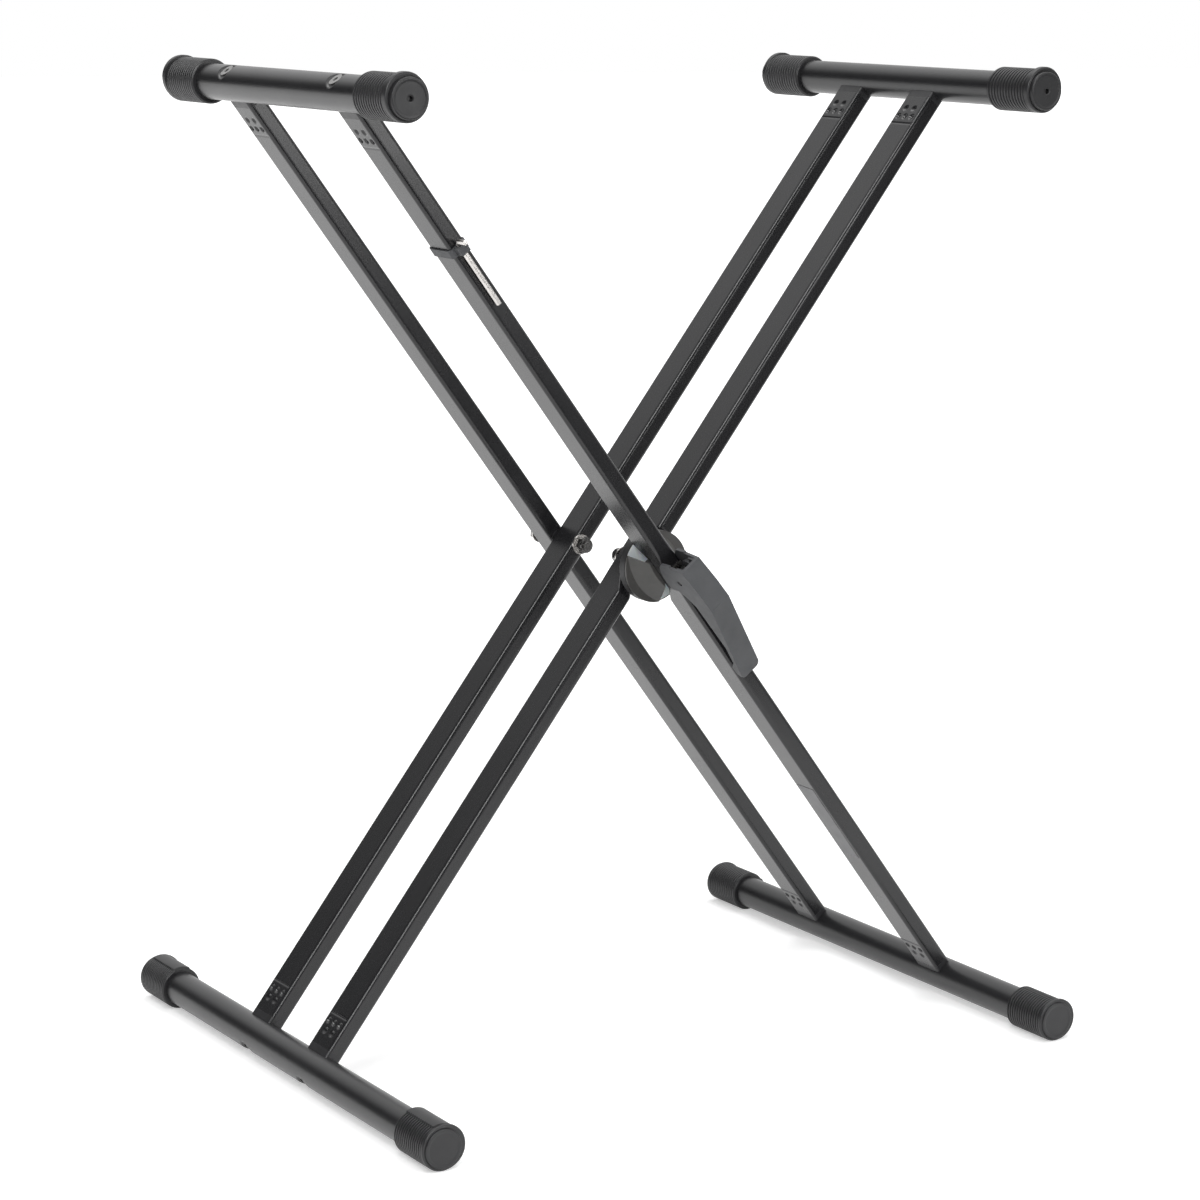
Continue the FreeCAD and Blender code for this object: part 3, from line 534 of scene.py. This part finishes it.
def cap_profile(length, end):
    """Rings (distance from the closed end, radius, kind) from the mouth to the middle of the face."""
    shoulder = CAP_BOSS[end]
    collar = shoulder + CAP_COLLAR[end]
    ribs = round((length - collar) / RIB_PITCH[end])
    pitch = (length - collar) / ribs
    rows = [(length, CAP_BORE, "mouth"), (length, CAP_RADIUS - 1.2 * MM, "mouth"),
            (length - 0.3 * MM, CAP_RADIUS - 0.85 * MM, "rib")]
    for rib in range(ribs):
        start = length - rib * pitch
        for share, depth in RIB_SHAPE:
            rows.append((start - pitch * share, CAP_RADIUS - GROOVE_DEPTH * depth, "rib"))
    rows += [(collar - 0.3 * MM, CAP_RADIUS - 0.3 * MM, "collar"),
             (collar - 0.7 * MM, CAP_RADIUS, "collar")]
    rows += rounding(shoulder, CAP_RADIUS, CAP_EDGE, CAP_EDGE_STEPS, "collar")
    rows += [(shoulder, CAP_BOSS_RADIUS + 0.5 * MM, "face"),
             (shoulder + 0.25 * MM, CAP_BOSS_RADIUS + 0.1 * MM, "boss"),
             (shoulder - 0.3 * MM, CAP_BOSS_RADIUS, "boss")]
    rows += rounding(0.0, CAP_BOSS_RADIUS - 0.15 * MM, BOSS_BEND[end], BOSS_STEPS, "boss")
    rows += [(sunk * MM, radius * MM, "boss") for radius, sunk in BOSS_RINGS]
    if end == "top":
        rows += [(0.25 * MM, CAP_HOLE + 0.4 * MM, "boss"), (0.45 * MM, CAP_HOLE, "boss"),
                 (CAP_HOLE_DEPTH, CAP_HOLE * 0.92, "boss")]
    return rows


def cap_piece(frame_name, end, where):
    node = frame_name + "_" + end + "_cap_" + where
    low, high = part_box(node)
    bar = middle(frame_name + "_" + end + "_bar")
    side = -1 if where == "front" else 1
    closed_end = low.y if side < 0 else high.y
    collar_turn = math.radians(COLLAR_TURN[frame_name + "_" + end])
    pad_turn = math.radians(PAD_TURN[frame_name])
    length = high.y - low.y
    rings = []
    for back, radius, kind in cap_profile(length, end):
        ring = []
        for index in range(CAP_SIDES):
            angle = 2 * math.pi * index / CAP_SIDES
            grown = radius
            if kind in ("collar", "face"):
                grown += CAP_OFFSET * max(0.0, math.cos(angle - collar_turn)) ** COLLAR_SHARPNESS
            if kind == "rib" and end == "foot":
                gap = abs(math.remainder(angle - pad_turn, 2 * math.pi))
                edge = ease((math.radians(PAD_HALF) - gap) / math.radians(PAD_FADE) + 0.5)
                near_mouth = ease((length - back) / (1.5 * MM))
                padded = CAP_RADIUS + PAD_HEIGHT - 0.25 * MM
                grown = grown + (max(grown, padded) - grown) * edge * near_mouth
            ring.append(Vector((bar.x + grown * math.cos(angle), closed_end - side * back,
                                bar.z + grown * math.sin(angle))))
        rings.append(ring)
    mesh = grid_mesh(node, rings)
    add_object(node + "_rubber", mesh, "cap_rubber", body_of(node), node)


# ---- build ------------------------------------------------------------------------------------------
arm_piece("outer", "front", 1)
arm_piece("outer", "rear", 0)
arm_piece("inner", "front", -1)
arm_piece("inner", "rear", 0)
for frame_name in ("outer", "inner"):
    for end in ("top", "foot"):
        bar_piece(frame_name, end)
        softened(frame_name + "_" + end + "_bar_screws", 0.3 * MM, "black_screw")
        for where in ("front", "rear"):
            cap_piece(frame_name, end, where)
            softened(frame_name + "_" + end + "_insert_" + where, 0.35 * MM, "insert_plastic")
softened("clutch_front_half", 0.8 * MM, "cast_grey", segments=4)
# the rear half takes the darker cast copy: partly its own tone, partly painted shade from the front half
softened("clutch_rear_half", 0.8 * MM, "cast_dark", segments=4)
softened("clutch_friction_ring", 0.3 * MM, "white_nylon")
softened("clutch_lever", 1.0 * MM, "lever_plastic", segments=5, angle=12)
softened("clutch_pressure_plate", 0.3 * MM, "bright_steel")
softened("clutch_bolt", 0.3 * MM, "dark_steel")
softened("clutch_lever_pin", 0.3 * MM, "dark_steel")
softened("clutch_lock_nut", 0.35 * MM, "dark_steel")
softened("clutch_washer", 0.2 * MM, "bright_steel")
softened("rear_pivot_bolt", 0.4 * MM, "dark_steel")
softened("rear_pivot_lock_nut", 0.35 * MM, "dark_steel")
softened("rear_pivot_head_washer", 0.2 * MM, "bright_steel")
softened("rear_pivot_nut_washer", 0.2 * MM, "bright_steel")
softened("rear_pivot_spacer", 0.1 * MM, "insert_plastic")
softened("hex_key", 0.3 * MM, "bright_steel")
softened("hex_key_clip", 0.4 * MM, "lever_plastic")
for node, material in (("clutch_release_spring", "bright_steel"), ("blank_label", "label_grey")):
    NODES[node].data.materials.clear()
    NODES[node].data.materials.append(MATERIALS[material])


# ---- floor, light, camera --------------------------------------------------------------------------
FLOOR_GLOW = 0.42               # near the stand, rising to 1 between these two distances
GLOW_NEAR = 0.9
GLOW_FAR = 2.6
FLOOR_SIDES = 20.0
FLOOR_FRONT = -1.25
ROOM_DARK = 0.06
ROOM_LIGHT = 0.75
CEILING_LIGHT = (0.5, 0.2, 0.84)
CEILING_EDGE = 0.18             # cosines between which the room brightens towards that light
CEILING_CORE = 0.60


def add_floor():
    corners = [(-FLOOR_SIDES, FLOOR_FRONT, 0), (FLOOR_SIDES, FLOOR_FRONT, 0),
               (FLOOR_SIDES, FLOOR_SIDES, 0), (-FLOOR_SIDES, FLOOR_SIDES, 0)]
    mesh = bpy.data.meshes.new("floor")
    mesh.from_pydata(corners, [], [(0, 1, 2, 3)])
    floor = bpy.data.objects.new("floor", mesh)
    bpy.context.scene.collection.objects.link(floor)
    graph = Graph("floor_white")
    tone = graph.ramp(graph.noise(3, 3), [(0.3, 0.80), (0.7, 0.82)])
    graph.join(tone, graph.shader.inputs["Base Color"])
    graph.set(Roughness=0.9, Specular_IOR_Level=0.0)
    amount = graph.add("ShaderNodeMath", operation="MULTIPLY")
    distance = graph.add("ShaderNodeVectorMath", operation="LENGTH")
    graph.join(graph.coordinates, distance.inputs[0])
    glow = graph.add("ShaderNodeMapRange")
    glow.inputs["From Min"].default_value = GLOW_NEAR
    glow.inputs["From Max"].default_value = GLOW_FAR
    glow.inputs["To Min"].default_value = FLOOR_GLOW
    glow.inputs["To Max"].default_value = 1.0
    graph.join(distance.outputs["Value"], glow.inputs["Value"])
    graph.join(glow.outputs["Result"], amount.inputs[1])
    graph.join(seen_directly(graph.material.node_tree), amount.inputs[0])
    graph.shader.inputs["Emission Color"].default_value = (1, 1, 1, 1)
    graph.join(amount.outputs[0], graph.shader.inputs["Emission Strength"])
    floor.data.materials.append(graph.material)


def add_lamp(name, place, target, size, power):
    lamp = bpy.data.lights.new(name, "AREA")
    lamp.shape = "RECTANGLE"
    lamp.size, lamp.size_y = size
    lamp.energy = power
    holder = bpy.data.objects.new(name, lamp)
    bpy.context.scene.collection.objects.link(holder)
    holder.location = place
    direction = Vector(target) - Vector(place)
    holder.rotation_euler = direction.to_track_quat("-Z", "Y").to_euler()


def set_world():
    """White all round for the camera; for the other rays, bright only towards a ceiling light."""
    world = bpy.data.worlds.new("studio")
    bpy.context.scene.world = world
    world.use_nodes = True
    nodes = world.node_tree.nodes
    links = world.node_tree.links
    background = nodes["Background"]
    path = nodes.new("ShaderNodeLightPath")
    place = nodes.new("ShaderNodeVectorMath")
    place.operation = "DOT_PRODUCT"
    place.inputs[1].default_value = CEILING_LIGHT
    links.new(nodes.new("ShaderNodeTexCoord").outputs["Generated"], place.inputs[0])
    room = nodes.new("ShaderNodeMapRange")
    room.interpolation_type = "SMOOTHSTEP"
    room.inputs["From Min"].default_value = CEILING_EDGE
    room.inputs["From Max"].default_value = CEILING_CORE
    room.inputs["To Min"].default_value = ROOM_DARK
    links.new(place.outputs["Value"], room.inputs["Value"])
    colour = nodes.new("ShaderNodeMix")
    colour.data_type = "RGBA"
    colour.inputs["B"].default_value = (1, 1, 1, 1)
    links.new(path.outputs["Is Camera Ray"], colour.inputs["Factor"])
    links.new(room.outputs["Result"], colour.inputs["A"])
    links.new(colour.outputs["Result"], background.inputs["Color"])
    scale = nodes.new("ShaderNodeMapRange")
    scale.inputs["To Min"].default_value = ROOM_LIGHT
    scale.inputs["To Max"].default_value = 1.0
    links.new(seen_directly(world.node_tree), scale.inputs["Value"])
    links.new(scale.outputs["Result"], background.inputs["Strength"])


# camera, fitted to the photograph
CAMERA_PLACE = Vector((-1.47485, -2.26692, 0.89735))
CAMERA_YAW = -0.5747
CAMERA_DOWN = 0.1935
CAMERA_ROLL = 0.01504
FOCAL_PX = 3268.5
PHOTO_PX = 1200
SENSOR_MM = 36.0


def add_camera():
    sin_yaw, cos_yaw = math.sin(CAMERA_YAW), math.cos(CAMERA_YAW)
    sin_down, cos_down = math.sin(CAMERA_DOWN), math.cos(CAMERA_DOWN)
    back = Vector((sin_yaw * cos_down, -cos_yaw * cos_down, sin_down))
    right = (-back).cross(Vector((0, 0, 1))).normalized()
    up = right.cross(-back)
    cos_roll, sin_roll = math.cos(CAMERA_ROLL), math.sin(CAMERA_ROLL)
    x_axis = right * cos_roll + up * sin_roll
    y_axis = up * cos_roll - right * sin_roll
    data = bpy.data.cameras.new("camera")
    data.sensor_width = SENSOR_MM
    data.lens = FOCAL_PX * SENSOR_MM / PHOTO_PX
    camera = bpy.data.objects.new("camera", data)
    bpy.context.scene.collection.objects.link(camera)
    rotation = Matrix((x_axis, y_axis, back)).transposed().to_4x4()
    camera.matrix_world = Matrix.Translation(CAMERA_PLACE) @ rotation
    bpy.context.scene.camera = camera


# name, place, target, size, power
LAMPS = [("key", (-1.8, -1.7, 2.6), (0, 0, 0.4), (0.8, 2.4), 66),
         ("fill", (-2.0, -2.9, 1.2), (0, 0, 0.4), (0.9, 0.9), 16),
         ("side", (1.15, -2.9, 1.2), (0, 0, 0.5), (0.8, 1.4), 24),
         ("top", (0.4, 0.8, 3.2), (0, 0, 0.4), (2.2, 1.6), 30)]

add_floor()
set_world()
for lamp in LAMPS:
    add_lamp(*lamp)
add_camera()
bpy.context.scene.view_settings.view_transform = "Standard"
